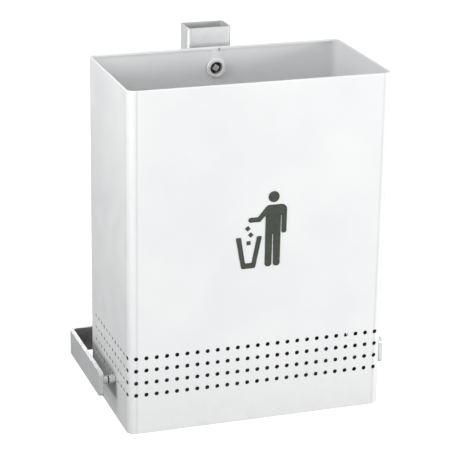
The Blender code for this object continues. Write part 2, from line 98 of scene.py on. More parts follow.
# Perforated band: a grid of cells round the sheet, each with a hole in its middle
HOLE_RADIUS = 0.0030
HOLE_EDGE = 0.0003
HOLE_PITCH = 0.0145
ROW_PITCH = 0.0179
HOLE_ROWS = 4
LOWEST_ROW = 0.0573
CELL_STEPS = 5
CELL_COLUMNS = 49
REAR_CELLS = 28

# Painted shade beside each bend: a thin dark line painted where the bend meets the flat, how strong it is,
# and how far it fades out each way
PAINTED_FOLD_SHADE_STRENGTH = 0.30
PAINTED_FOLD_SHADE_WIDTH = 0.0022

# Painted shade inside the bin: height above the foot where the inside is painted fully dark, and where the
# painted shade ends
DEPTH_SHADE_FULL = 0.10
DEPTH_SHADE_TOP = 0.32

# Height above the foot where the dust, partly painted shade darkening the outside towards the foot, and the
# scuffs on the outside end
DUST_AND_SHADE_TOP = 0.13
SCUFF_TOP = 0.012

# Floor pan
PAN_SHEET = 0.0015
PAN_EDGE = 0.0022
PAN_MIDDLE = FLOOR_HIGH.z - PAN_SHEET / 2
DRAIN_RADIUS = 0.004
DRAIN_SPREAD = (0.130, 0.055)

# Bracket
POST_CORNER = 0.005
POST_WALL = 0.003
POST_LIP = 0.0006
BAR_THICK = 0.006
BAR_BEND = 0.011
BAR_END_CORNER = 0.006
BAR_EDGE = 0.0009
BAR_END_Y = YOKE_LOW.y
FIXING_HEIGHTS = (0.070, -0.150)
FIXING_RADIUS = 0.0045
ACCESS_RADIUS = 0.009
SLOT_HALF_WIDTH = 0.0085
SLOT_ABOVE = 0.014
SLOT_BELOW = 0.028
SLOT_CORNER = 0.0015
WELD_LEG = 0.0034
WELD_RIPPLE = 0.0017
WELD_SUNK = 0.0004
WELD_SHORT = 0.001
BOSS_WELD = 0.0021

# Pivots
STANDOFF = 0.020
SCREW_RADIUS = 0.004
BUSH_RADIUS = 0.0065
BUSH_LENGTH = 0.0092
SPIGOT_RADIUS = 0.0055
SPIGOT_DEPTH = 0.0026
BOSS_RADIUS = 0.0056
WASHER_RADIUS = 0.0050
WASHER_THICK = 0.0008
HEAD_RADIUS = 0.007
HEAD_HEIGHT = 0.0045
SOCKET_SIZE = 0.005

# Buffers
BUFFER_X = 0.018
BUFFER_BELOW_LOCK = 0.075
BUFFER_RADIUS = 0.009
STEM_RADIUS = 0.003
STEM_LENGTH = 0.007

# Lock
FLANGE_RADIUS = 0.014
FLANGE_THICK = 0.003
BARREL_RADIUS = 0.011
THREAD_PITCH = 0.0015
THREAD_DEPTH = 0.0006
THREAD_CREST = (0.45, 0.55)
RECESS_RADIUS = 0.009
RECESS_DEPTH = 0.012
SHAFT_RADIUS = 0.0059
LOCK_FIT = 0.0002
NUT_FLATS = 0.027
NUT_THICK = 0.005
KEY_SIZE = 0.008
KEY_TURN = math.radians(-33)
KEY_BELOW_FLANGE = 0.0030
KEY_SUNK = 0.0004
DISC_THICK = 0.003
TAIL_SIZE = 0.007
TAIL_SUNK = 0.001
BARREL_SHORT = 0.001
CAM_THICK = 0.003
CAM_HALF_WIDTH = 0.007
CAM_REACH = 0.024
CAM_FACE = -0.0365
CAM_SCREW_RADIUS = 0.0024
CAM_SCREW_LENGTH = 0.009
CAM_SCREW_HEAD = (0.0045, 0.003)
CAM_WASHER_RADIUS = 0.006
CROSS_SLOT = (0.0022, 0.0004, 0.0015)

# Pictogram: x, height and corner radius, from its middle on the bin's front
SIGN_MIDDLE = 0.003
SIGN_HEIGHT = 0.278
SIGN_THICK = 0.0004
SIGN_EDGE = 0.00008
HEAD_DISC = ((0.0155, 0.047), 0.0078)
FIGURE = (
    (0.0040, -0.0520, 0.0042), (0.0137, -0.0520, 0.0042), (0.0142, -0.0060, 0.0005),
    (0.0154, -0.0060, 0.0005), (0.0160, -0.0520, 0.0042), (0.0256, -0.0520, 0.0042),
    (0.0260, 0.0200, 0.0004), (0.0272, 0.0200, 0.0004), (0.0272, -0.0056, 0.0030),
    (0.0343, -0.0056, 0.0034), (0.0346, 0.0358, 0.0080), (0.0065, 0.0358, 0.0070),
    (-0.0066, 0.0200, 0.0030), (-0.0204, 0.0200, 0.0034), (-0.0204, 0.0130, 0.0034),
    (-0.0036, 0.0130, 0.0030), (0.0042, 0.0216, 0.0008),
)
BASKET = (
    (-0.0378, -0.0072, 0.0010), (-0.0294, -0.0524, 0.0030), (-0.0098, -0.0524, 0.0030),
    (-0.0007, -0.0072, 0.0010), (-0.0076, -0.0072, 0.0010), (-0.0147, -0.0445, 0.0015),
    (-0.0243, -0.0445, 0.0015), (-0.0306, -0.0072, 0.0010),
)
LITTER = ((-0.0210, 0.0049, 38), (-0.0167, -0.0044, 42), (-0.0196, -0.0158, 4))
LITTER_SIZE = 0.0056

# Camera, to the left of the bin and above it
CAMERA_TARGET = Vector((-0.04474, -0.266, 0.01706))
CAMERA_DISTANCE = 2.5638
CAMERA_AZIMUTH = math.radians(-19.02)
CAMERA_ELEVATION = math.radians(19.39)
CAMERA_ROLL = math.radians(0.92)
CAMERA_LENS = 150.55
CAMERA_SENSOR = 36.0

GROUND_DROP = 1.9
GROUND_SIZE = 120.0
FLOOR_GLOW = 0.55

# Light from all round: where it is strongest, and its strength there and opposite
SKY_TOWARDS = (0.65, -0.25, 0.72)
SKY_STRONGEST = 0.90
SKY_WEAKEST = 0.06

# Lights: where each stands, where it points, its width and height, and its power
LIGHTS = {
    "key": ((2.0, -2.9, 0.30), (0, -0.26, 0.0), (1.3, 0.9), 62),
    "upper_left": ((-0.80, -0.30, 0.60), (-0.19, -0.17, 0.1), (0.5, 0.5), 3.2),
    "left": ((-1.6, -0.50, 0.30), (-0.19, -0.15, -0.1), (0.35, 0.35), 8),
    "back": ((0.2, 3.0, 0.10), (0, 0, 0), (0.8, 0.8), 36),
    "post_edge": ((-0.9, 0.3, 0.05), (-0.03, -0.02, 0.225), (0.06, 0.06), 0.022),
    "sheen": ((-2.8, -1.75, -0.90), (-0.19, -0.26, 0.0), (4.2, 1.3), 38),
}
POST_EDGE_SPREAD = math.radians(16)

# Colours; where there are two, the finish varies between them
CLEAN_WHITE = ((0.825, 0.835, 0.842), (0.868, 0.872, 0.876))
WHITE_SPECK = (0.70, 0.71, 0.72)
# Painted shade: colour of the thin dark lines painted beside the bends
PAINTED_FOLD_SHADE = (0.42, 0.42, 0.43)
# Dust low on the outside, partly painted shade: it darkens the sheet towards the foot
DUST_AND_PAINTED_SHADE = (0.56, 0.56, 0.55)
SCUFF = (0.58, 0.58, 0.57)
# Painted shade: dark colour painted on the inside low down, standing in for the shade deep in the bin
PAINTED_DEPTH_SHADE = ((0.075, 0.070, 0.062), (0.120, 0.112, 0.100))
SPANGLE = ((0.70, 0.71, 0.72), (0.80, 0.81, 0.82))
CLOUD = (0.80, 0.805, 0.81)
METAL_GRAIN = (0.54, 0.545, 0.55)
RUBBED = (0.88, 0.88, 0.88)
DULL_FILM = (0.30, 0.30, 0.295)
# Painted shade: dark tones painted on the yoke's side facing the bin, where the bin shades it
YOKE_PAINTED_SHADE = ((0.15, 0.15, 0.145), (0.23, 0.23, 0.22))
FLOOR_WHITE = ((0.90, 0.90, 0.90), (0.93, 0.93, 0.93))


# Finishes

class Finish:
    """A Principled material whose variation is noise in the piece's own coordinates."""

    def __init__(self, name, metallic=0.0):
        self.material = bpy.data.materials.new(name)
        self.material.use_nodes = True
        tree = self.material.node_tree
        self.nodes = tree.nodes
        self.links = tree.links
        self.shader = self.nodes["Principled BSDF"]
        self.shader.inputs["Metallic"].default_value = metallic
        self.place = self.nodes.new("ShaderNodeTexCoord").outputs["Object"]
        self.normal = None

    def node(self, kind, inputs, **settings):
        """A node whose inputs are each set to a value or linked to another node's output."""
        made = self.nodes.new(kind)
        for name, value in settings.items():
            setattr(made, name, value)
        for name, value in inputs.items():
            if isinstance(value, bpy.types.NodeSocket):
                self.links.new(value, made.inputs[name])
            else:
                made.inputs[name].default_value = value
        return made

    def noise(self, scale, detail, factors=None):
        """Soft noise, finer at a larger scale, and closer together along the axes with larger factors."""
        place = self.place
        if factors:
            place = self.node("ShaderNodeMapping", {"Vector": place, "Scale": factors}).outputs["Vector"]
        made = self.node("ShaderNodeTexNoise", {"Vector": place, "Scale": scale, "Detail": detail})
        return made.outputs["Fac"]

    def cells(self, scale):
        """A random level for each of many small patches."""
        return self.node("ShaderNodeTexVoronoi", {"Vector": self.place, "Scale": scale}).outputs["Color"]

    def part(self, axis, vector=None):
        """One coordinate of the place, or of another vector."""
        return self.node("ShaderNodeSeparateXYZ", {"Vector": vector or self.place}).outputs[axis]

    def span(self, value, low, high, start=0.35, end=0.65):
        """A value between low and high as another goes from start to end, which suit soft noise."""
        ends = {"From Min": start, "From Max": end, "To Min": low, "To Max": high}
        return self.node("ShaderNodeMapRange", {"Value": value, **ends}).outputs["Result"]

    def maths(self, operation, first, second):
        return self.node("ShaderNodeMath", {0: first, 1: second}, operation=operation).outputs["Value"]

    def vector(self, operation, first, second=(0, 0, 0)):
        made = self.node("ShaderNodeVectorMath", {0: first, 1: second}, operation=operation)
        return made.outputs["Value" if operation == "LENGTH" else "Vector"]

    def within(self, half_x, near_y, far_y, corner, blur=0.0003):
        """1 inside a rounded rectangle seen from above, at any height, and 0 outside it."""
        any_height = 10
        flats = (half_x - corner, (far_y - near_y) / 2 - corner, any_height)
        reach = self.vector("SUBTRACT", self.place, (0, (near_y + far_y) / 2, 0))
        reach = self.vector("SUBTRACT", self.vector("ABSOLUTE", reach), flats)
        reach = self.vector("LENGTH", self.vector("MAXIMUM", reach))
        return self.span(reach, 1.0, 0.0, corner - blur, corner + blur)

    def mix(self, factor, first, second):
        """Two colours mixed; each is a colour or another mix."""
        first, second = [(*colour, 1) if isinstance(colour, tuple) else colour for colour in (first, second)]
        made = self.node("ShaderNodeMix", {"Factor": factor, 6: first, 7: second}, data_type="RGBA")
        return made.outputs[2]

    def colour(self, source):
        self.links.new(source, self.shader.inputs["Base Color"])

    def roughness(self, source):
        self.links.new(source, self.shader.inputs["Roughness"])

    def relief(self, height, distance, strength):
        """Bumps as deep as distance, on top of those already there."""
        made = self.node("ShaderNodeBump", {"Height": height, "Distance": distance, "Strength": strength})
        if self.normal:
            self.links.new(self.normal, made.inputs["Normal"])
        self.normal = made.outputs["Normal"]
        self.links.new(self.normal, self.shader.inputs["Normal"])


def white_powder_coat():
    """Satin white with orange peel; painted shade as fine dark lines beside the bends; dust, partly painted
    shade, and scuffs low down; and an inside painted dark low down as painted shade.
    """
    coat = Finish("white_powder_coat")
    height = coat.part("Z")
    half = SHEET / 2
    inside = coat.within(HALF_WIDTH - half, FRONT + half, REAR - half, CORNER - half)
    outside = coat.span(inside, 1, 0, 0, 1)
    above_pan = coat.span(height, 0.0, 1.0, PAN_MIDDLE - half / 2, PAN_MIDDLE)

    tone = coat.mix(coat.span(coat.noise(7, 3), 0, 1), *CLEAN_WHITE)
    speck = coat.span(coat.noise(1500, 1), 0.0, 0.10, 0.55, 0.75)
    tone = coat.mix(speck, tone, WHITE_SPECK)

    # Painted shade: a thin dark line painted on the outside along both edges of each bend
    flats = (HALF_WIDTH - CORNER, (REAR - FRONT) / 2 - CORNER, 0)
    fold_shade_mask = coat.vector("SUBTRACT", coat.place, (0, (FRONT + REAR) / 2, 0))
    fold_shade_mask = coat.vector("SUBTRACT", coat.vector("ABSOLUTE", fold_shade_mask), flats)
    fold_shade_mask = coat.vector("ABSOLUTE", fold_shade_mask)
    nearest = coat.maths("MINIMUM", coat.part("X", fold_shade_mask), coat.part("Y", fold_shade_mask))
    fold_shade_mask = coat.span(nearest, PAINTED_FOLD_SHADE_STRENGTH, 0.0, 0.0, PAINTED_FOLD_SHADE_WIDTH)
    tone = coat.mix(coat.maths("MULTIPLY", fold_shade_mask, outside), tone, PAINTED_FOLD_SHADE)

    # Dust towards the foot, partly painted shade: the outside is painted darker towards the foot
    low = coat.span(height, 0.30, 0.0, FOOT, FOOT + DUST_AND_SHADE_TOP)
    dust_and_shade = coat.maths("MULTIPLY", low, coat.span(coat.noise(60, 5), 0.7, 1.0))
    tone = coat.mix(dust_and_shade, tone, DUST_AND_PAINTED_SHADE)
    lowest = coat.span(height, 0.12, 0.0, FOOT, FOOT + SCUFF_TOP)
    scuff = coat.maths("MULTIPLY", lowest, coat.span(coat.noise(85, 5), 0.0, 1.0, 0.55, 0.72))
    tone = coat.mix(scuff, tone, SCUFF)

    # Painted shade: the inside of the wall is painted dark towards the floor, standing in for the shade deep
    # in the bin
    depth = coat.span(height, 0.95, 0.0, FOOT + DEPTH_SHADE_FULL, FOOT + DEPTH_SHADE_TOP)
    depth_shade_tone = coat.mix(coat.span(coat.noise(32, 6), 0, 1), *PAINTED_DEPTH_SHADE)
    painted_shade = coat.maths("MULTIPLY", coat.maths("MULTIPLY", inside, above_pan), depth)
    coat.colour(coat.mix(painted_shade, tone, depth_shade_tone))
    coat.roughness(coat.span(coat.noise(28, 4), 0.31, 0.43))
    coat.relief(coat.noise(11, 1), 0.0005, 0.5)
    coat.relief(coat.noise(520, 2), 0.00007, 0.6)
    coat.relief(coat.noise(1700, 1), 0.00002, 0.5)
    return coat.material


def grey_metal_coat(name="grey_metal_coat", film=(0.15, 0.26), painted_shade=False):
    """Silver-grey coat over galvanised steel: faint spangles, fine metallic grain and a few rubs.

    A dull film lies over it, between the two amounts given. When asked for, the side of the yoke that faces
    the bin
    is painted dark: painted shade, standing in for the bin's shadow there.
    """
    coat = Finish(name, 0.30)
    spangle = coat.mix(coat.cells(95), *SPANGLE)
    cloud = coat.span(coat.noise(38, 4), 0.0, 0.55)
    tone = coat.mix(cloud, spangle, CLOUD)
    grain = coat.span(coat.noise(1250, 2), 0.0, 0.45, 0.45, 0.70)
    tone = coat.mix(grain, tone, METAL_GRAIN)
    rub = coat.span(coat.noise(46, 6, (1, 1, 0.35)), 0.0, 0.5, 0.62, 0.74)
    tone = coat.mix(rub, tone, RUBBED)
    tone = coat.mix(coat.span(coat.noise(18, 4), *film), tone, DULL_FILM)
    # Painted shade: the yoke's faces towards the bin are painted dark where the bin shades them
    if painted_shade:
        inner = YOKE_HIGH.y - BAR_THICK
        half = YOKE_HIGH.x - BAR_THICK
        within = coat.within(half + GAP, inner - 1, inner + GAP, BAR_BEND - BAR_THICK)
        yoke_shade_tone = coat.mix(coat.span(coat.noise(75, 5), 0, 1), *YOKE_PAINTED_SHADE)
        tone = coat.mix(within, tone, yoke_shade_tone)
    coat.colour(tone)
    coat.roughness(coat.span(coat.noise(300, 3), 0.33, 0.47))
    coat.relief(coat.noise(230, 3), 0.00014, 0.7)
    coat.relief(coat.noise(1250, 2), 0.00005, 0.8)
    return coat.material


def two_tone(name, tones, mottle, gloss, gloss_mottle, bumps, metallic=0.0, change=(0, 1), patches=None,
             specular=None):
    """A finish of two tones with uneven gloss and fine bumps.

    mottle and gloss_mottle: the scale and detail of the noise that the tones and the gloss follow.
    gloss: the lowest and the highest roughness.
    bumps: their noise, depth and strength.
    change: how much of the second tone there is at least and at most, and the noise levels between them.
    patches: a third tone, its noise, and its change.
    """
    made = Finish(name, metallic)
    tone = made.mix(made.span(made.noise(*mottle), *change), *tones)
    if patches:
        third, noise, spread = patches
        tone = made.mix(made.span(made.noise(*noise), *spread), tone, third)
    made.colour(tone)
    made.roughness(made.span(made.noise(*gloss_mottle), *gloss))
    noise, depth, strength = bumps
    made.relief(made.noise(*noise), depth, strength)
    if specular is not None:
        made.shader.inputs["Specular IOR Level"].default_value = specular
    return made.material


def zinc_plate():
    """Bright zinc with turning marks and a faint bluish bloom."""
    return two_tone("zinc_plate", ((0.62, 0.63, 0.64), (0.74, 0.74, 0.72)), mottle=(160, 3), metallic=1.0,
                    gloss=(0.20, 0.36), gloss_mottle=(420, 3), bumps=((900, 2, (6, 0.6, 0.6)), 0.00002, 0.6),
                    patches=((0.60, 0.64, 0.68), (60, 2), (0.0, 0.35)))


def satin_chrome():
    """Brushed chrome of the lock's flange and barrel."""
    return two_tone("satin_chrome", ((0.88, 0.88, 0.87), (0.95, 0.95, 0.94)), mottle=(240, 3), metallic=0.22,
                    gloss=(0.26, 0.40), gloss_mottle=(500, 4), bumps=((1500, 2, (0.5, 1, 4)), 0.00002, 0.6))


def oiled_steel():
    """Dark driver in the lock, with grey worn patches."""
    return two_tone("oiled_steel", ((0.045, 0.045, 0.045), (0.16, 0.155, 0.15)), mottle=(520, 4),
                    metallic=0.9, change=(0.0, 0.8, 0.52, 0.68), gloss=(0.28, 0.50), gloss_mottle=(700, 3),
                    bumps=((1200, 3), 0.00003, 0.7))


def worn_key_steel():
    """The square key post, rubbed grey by the key."""
    return two_tone("worn_key_steel", ((0.52, 0.52, 0.515), (0.82, 0.815, 0.81)), mottle=(620, 4),
                    metallic=0.85, change=(0.0, 1.0, 0.42, 0.62), gloss=(0.25, 0.45), gloss_mottle=(800, 3),
                    bumps=((1400, 3, (1, 1, 4)), 0.00003, 0.7))


def ink_film():
    """Matt dark olive-grey film of the pictogram."""
    return two_tone("ink_film", ((0.044, 0.052, 0.041), (0.060, 0.070, 0.055)), mottle=(120, 4), specular=0.3,
                    gloss=(0.52, 0.68), gloss_mottle=(300, 2), bumps=((1300, 2), 0.00002, 0.6),
                    patches=((0.11, 0.12, 0.11), (900, 2), (0.0, 0.2, 0.5, 0.7)))


def black_rubber():
    return two_tone("black_rubber", ((0.022, 0.022, 0.023), (0.040, 0.040, 0.041)), mottle=(350, 4),
                    gloss=(0.62, 0.82), gloss_mottle=(260, 3), bumps=((1100, 3), 0.00006, 0.8))


def dark_nylon():
    return two_tone("dark_nylon", ((0.038, 0.038, 0.040), (0.062, 0.062, 0.064)), mottle=(420, 3),
                    gloss=(0.40, 0.56), gloss_mottle=(500, 2), bumps=((1500, 2), 0.00003, 0.6))


def pale_floor():
    """White and matt, glowing a little so that it stays white."""
    floor = Finish("pale_floor")
    floor.shader.inputs["Roughness"].default_value = 0.9
    floor.colour(floor.mix(floor.span(floor.noise(0.6, 2), 0, 1), *FLOOR_WHITE))
    floor.shader.inputs["Emission Color"].default_value = (1, 1, 1, 1)
    floor.shader.inputs["Emission Strength"].default_value = FLOOR_GLOW
    return floor.material


SLOT_MATERIALS = {
    "white_coat": white_powder_coat(),
    "grey_coat": grey_metal_coat(),
    "zinc_steel": zinc_plate(),
    "lock_chrome": satin_chrome(),
    "dark_steel": oiled_steel(),
    "sign_ink": ink_film(),
    "black_rubber": black_rubber(),
    "dark_nylon": dark_nylon(),
}


# Pieces

def mesh_from(form):
    bmesh.ops.recalc_face_normals(form, faces=form.faces)
    mesh = bpy.data.meshes.new("shape")
    form.to_mesh(mesh)
    form.free()
    return mesh


def settled(mesh, kind, **settings):
    """The mesh after one modifier."""
    holder = bpy.data.objects.new("holder", mesh)
    bpy.context.scene.collection.objects.link(holder)
    step = holder.modifiers.new(kind, kind)
    for name, value in settings.items():
        setattr(step, name, value)
    bpy.context.view_layer.update()
    evaluated = holder.evaluated_get(bpy.context.evaluated_depsgraph_get())
    made = bpy.data.meshes.new_from_object(evaluated)
    bpy.data.objects.remove(holder)
    return made


def combined(mesh, shapes, operation):
    """The mesh joined with, cut by, or cut down to other closed meshes, one after another."""
    for shape in shapes:
        holder = bpy.data.objects.new("shape", shape)
        bpy.context.scene.collection.objects.link(holder)
        mesh = settled(mesh, "BOOLEAN", operation=operation, solver="MANIFOLD", object=holder)
        bpy.data.objects.remove(holder)
    return mesh


def cut(mesh, shapes):
    return combined(mesh, shapes, "DIFFERENCE")


def bevelled(mesh, width, segments=3):
    return settled(mesh, "BEVEL", width=width, segments=segments, limit_method="ANGLE",
                   angle_limit=math.radians(SHARP), use_clamp_overlap=True)


def show(name, mesh, slot, body, *nodes, place=Matrix(), sharp=SHARP):
    """A piece of the bin: it rides on a body, takes a slot's finish and stands for the nodes named.

    Edges stay sharp where the faces beside them turn by more degrees than sharp.
    """
    mesh.transform(place)
    mesh.name = name
    mesh.materials.clear()
    mesh.materials.append(SLOT_MATERIALS[slot])
    mesh.shade_smooth()
    mesh.set_sharp_from_angle(angle=math.radians(sharp))
    piece = bpy.data.objects.new(name, mesh)
    bpy.context.scene.collection.objects.link(piece)
    weighting = piece.modifiers.new("normals", "WEIGHTED_NORMAL")
    weighting.keep_sharp = True
    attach(piece, body)
    if nodes:
        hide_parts(*nodes)
    return piece


def arc(centre, radius, start, end, steps):
    """Points on an arc, angles in degrees."""
    angles = [math.radians(start + (end - start) * i / steps) for i in range(steps + 1)]
    return [(centre[0] + radius * math.cos(a), centre[1] + radius * math.sin(a)) for a in angles]


def softened(corners, steps=5, closed=True):
    """An outline from corners of x, y and radius, each rounded by an arc between its tangent points."""
    points = []
    last = len(corners) - 1
    for i, (x, y, radius) in enumerate(corners):
        if radius == 0 or (not closed and i in (0, last)):
            points.append((x, y))
            continue
        corner = Vector((x, y))
        before = (Vector(corners[i - 1][:2]) - corner).normalized()
        after = (Vector(corners[(i + 1) % len(corners)][:2]) - corner).normalized()
        half = before.angle(after) / 2
        centre = corner + (before + after).normalized() * radius / math.sin(half)
        start = corner + before * radius / math.tan(half) - centre
        end = corner + after * radius / math.tan(half) - centre
        for step in range(steps + 1):
            spoke = start.lerp(end, step / steps).normalized() * radius
            points.append(tuple(centre + spoke))
    return points


def lathe(profile, closed, sides=48):
    """A profile of radius and height turned on Z; an open profile starts and ends on the axis."""
    form = bmesh.new()
    rings = []
    for radius, height in profile:
        if radius < MERGE:
            rings.append([form.verts.new((0, 0, height))] * sides)
            continue
        spots = arc((0, 0), radius, 0, 360, sides)[:-1]
        rings.append([form.verts.new((x, y, height)) for x, y in spots])
    following = rings[1:] + rings[:1] if closed else rings[1:]
    for ring, after in zip(rings, following):
        for i in range(sides):
            j = (i + 1) % sides
            corners = [ring[i], ring[j], after[j], after[i]]
            form.faces.new(list(dict.fromkeys(corners)))
    return mesh_from(form)


def rod(radius, low, high, sides=32):
    form = bmesh.new()
    bmesh.ops.create_cone(form, cap_ends=True, segments=sides, radius1=radius, radius2=radius,
                          depth=high - low, matrix=Matrix.Translation((0, 0, (low + high) / 2)))
    return mesh_from(form)


def block(low, high, turn=0.0):
    """A box between two corners, turned about its own middle on Z."""
    size = [high[i] - low[i] for i in range(3)]
    middle = Vector([(high[i] + low[i]) / 2 for i in range(3)])
    form = bmesh.new()
    bmesh.ops.create_cube(form, size=1, matrix=Matrix.Diagonal((*size, 1)))
    bmesh.ops.transform(form, matrix=Matrix.Rotation(turn, 4, "Z"), verts=form.verts)
    bmesh.ops.translate(form, vec=middle, verts=form.verts)
    return mesh_from(form)


def plate(outline, low, high):
    """A flat outline between two heights."""
    form = bmesh.new()
    face = form.faces.new([form.verts.new((x, y, low)) for x, y in outline])
    risen = bmesh.ops.extrude_face_region(form, geom=[face])["geom"]
    tops = [item for item in risen if isinstance(item, bmesh.types.BMVert)]
    bmesh.ops.translate(form, vec=(0, 0, high - low), verts=tops)
    return mesh_from(form)


class Outline:
    """A rounded rectangle read by the distance along it, anticlockwise from the middle of its front."""

    def __init__(self, width, depth, corner, middle_y):
        self.corner = corner
        self.front = middle_y - depth / 2
        flat = width / 2 - corner
        side = depth - 2 * corner
        bend = corner * math.pi / 2
        self.runs = (
            (flat, False), (bend, True), (side, False), (bend, True), (2 * flat, False),
            (bend, True), (side, False), (bend, True), (flat, False),
        )
        self.length = sum(length for length, bends in self.runs)

    def at(self, along, inset=0.0):
        """The place that far along, moved straight inwards."""
        along %= self.length
        spot = Vector((0, self.front))
        heading = 0.0
        for length, bends in self.runs:
            step = min(along, length)
            if bends:
                centre = spot + self.corner * Vector((-math.sin(heading), math.cos(heading)))
                heading += step / self.corner
                spot = centre - self.corner * Vector((-math.sin(heading), math.cos(heading)))
            else:
                spot = spot + step * Vector((math.cos(heading), math.sin(heading)))
            along -= step
            if along <= 0:
                break
        return spot + inset * Vector((-math.sin(heading), math.cos(heading)))

    def stations(self, steps):
        """Both ends of each straight run, and steps along each bend."""
        places = []
        start = 0.0
        for length, bends in self.runs:
            count = steps if bends else 1
            places += [start + length * i / count for i in range(count)]
            start += length
        return places[1:]


def loft(outline, stations, section):
    """A closed section of inset and height carried once round an outline."""
    form = bmesh.new()
    rings = []
    for along in stations:
        spots = [(*outline.at(along, inset), height) for inset, height in section]
        rings.append([form.verts.new(spot) for spot in spots])
    count = len(section)
    for ring, after in zip(rings, rings[1:] + rings[:1]):
        for i in range(count):
            j = (i + 1) % count
            form.faces.new((ring[i], after[i], after[j], ring[j]))
    return form


# Bin sheet

BIN = Outline(2 * HALF_WIDTH, REAR - FRONT, CORNER, (FRONT + REAR) / 2)
BAND_LOW = LOWEST_ROW - ROW_PITCH / 2
BAND_STEPS = HOLE_ROWS * CELL_STEPS


def bin_stations():
    """Distances round the sheet: fine steps that fit the holes' cells, then the same over the rear."""
    cells = HOLE_PITCH * CELL_COLUMNS
    rear = BIN.length - cells
    steps = REAR_CELLS * CELL_STEPS
    stations = [HOLE_PITCH * i / CELL_STEPS - cells / 2 for i in range(CELL_COLUMNS * CELL_STEPS)]
    return stations + [cells / 2 + rear * i / steps for i in range(steps)]


def sheet_section():
    """The sheet's section above the foot: up the outside, over the rolled hem and down the inside."""
    top = RIM - FOOT
    lip = SHEET / 2
    roll = HEM_THICK / 2
    below = [0.004, 0.020, 0.036]
    band = [BAND_LOW + ROW_PITCH * i / CELL_STEPS for i in range(BAND_STEPS + 1)]
    above = [0.150, 0.210, 0.270, 0.330, 0.390, 0.440, 0.470]
    heights = below + band + above
    section = [(inset, height) for inset, height in arc((lip, lip), lip, 360, 180, 6)]
    section += [(0.0, height) for height in heights]
    section += arc((roll, top - roll), roll, 180, 0, 8)
    section += arc((HEM_THICK - HEM_EDGE, top - HEM_HEIGHT + HEM_EDGE), HEM_EDGE, 0, -90, 3)
    section += [(SHEET, top - HEM_HEIGHT)]
    section += [(SHEET, height) for height in reversed(heights)]
    first_outside = 7 + len(below)
    last_inside = len(section) - 1 - len(below)
    return section, first_outside, last_inside


def hole_centre(column, row):
    along = (column - CELL_COLUMNS // 2) * HOLE_PITCH
    return along, LOWEST_ROW + row * ROW_PITCH


def near_pivot(along, height):
    """A hole that the bush on the side would cover is left out."""
    x, y = BIN.at(along)
    beside = abs(x) > HALF_WIDTH - MERGE
    distance = math.hypot(y - PIVOT.y, FOOT + height - PIVOT.z)
    return beside and distance < BUSH_RADIUS + HOLE_RADIUS


def cell_border():
    """Steps round a cell's border, anticlockwise seen from outside the bin."""
    n = CELL_STEPS
    return ([(i, 0) for i in range(n)] + [(n, i) for i in range(n)]
            + [(n - i, n) for i in range(n)] + [(0, n - i) for i in range(n)])


def hole_rings():
    """Radius and depth of the rings that turn a hole's edges through the sheet."""
    edge = HOLE_EDGE
    outer = arc((HOLE_RADIUS + edge, edge), edge, 270, 180, 2)
    inner = arc((HOLE_RADIUS + edge, SHEET - edge), edge, 180, 90, 2)
    return outer + inner


def sheet_mesh():
    """The bin's wall as one closed mesh with a round hole in each cell of the band."""
    stations = bin_stations()
    section, first_outside, last_inside = sheet_section()
    total = len(stations)
    count = len(section)
    form = bmesh.new()
    made = {}

    def vert(i, k):
        key = (i % total, k % count)
        if key not in made:
            inset, height = section[key[1]]
            made[key] = form.verts.new((*BIN.at(stations[key[0]], inset), FOOT + height))
        return made[key]

    punched = []
    inside_cell = set()
    for column in range(CELL_COLUMNS):
        start = column * CELL_STEPS
        for row in range(HOLE_ROWS):
            along, height = hole_centre(column, row)
            if near_pivot(along, height):
                continue
            punched.append((start, row, along, height))
            for i in range(CELL_STEPS):
                for k in range(CELL_STEPS):
                    step = row * CELL_STEPS + k
                    inside_cell.add((start + i, first_outside + step))
                    inside_cell.add((start + i, last_inside - step - 1))
    for i in range(total):
        for k in range(count):
            if (i, k) not in inside_cell:
                form.faces.new((vert(i, k), vert(i + 1, k), vert(i + 1, k + 1), vert(i, k + 1)))

    border = cell_border()
    rings = hole_rings()
    for start, row, along, height in punched:
        outside = [vert(start + i, first_outside + row * CELL_STEPS + k) for i, k in border]
        inside = [vert(start + i, last_inside - row * CELL_STEPS - k) for i, k in border]
        middle = CELL_STEPS / 2
        spokes = []
        for i, k in border:
            spoke = Vector(((i - middle) * HOLE_PITCH, (k - middle) * ROW_PITCH))
            spokes.append(spoke.normalized())
        chain = [outside]
        for radius, depth in rings:
            ring = []
            for spoke in spokes:
                spot = BIN.at(along + spoke.x * radius, depth)
                ring.append(form.verts.new((*spot, FOOT + height + spoke.y * radius)))
            chain.append(ring)
        chain.append(inside)
        for ring, after in zip(chain, chain[1:]):
            for i in range(len(border)):
                j = (i + 1) % len(border)
                form.faces.new((ring[i], ring[j], after[j], after[i]))
    return mesh_from(form)


def lock_place():
    """Z points into the bin from the lock, Y points up."""
    return Matrix.Translation(LOCK) @ UPRIGHT


def side_place(side):
    """Z points out of the bin's side, from its face; side is 1 for right and -1 for left."""
    spot = Matrix.Translation((side * HALF_WIDTH, PIVOT.y, PIVOT.z))
    return spot @ Matrix.Rotation(side * math.pi / 2, 4, "Y")


def slot_outline(half, low, high, corner):
    """A rounded rectangle, centred across."""
    return softened([(x, y, corner) for x, y in ((-half, low), (half, low), (half, high), (-half, high))], 4)


def moved(mesh, place):
    mesh.transform(place)
    return mesh


def lock_bore():
    return moved(rod(BARREL_RADIUS + GAP, -REACH, REACH, 48), lock_place())


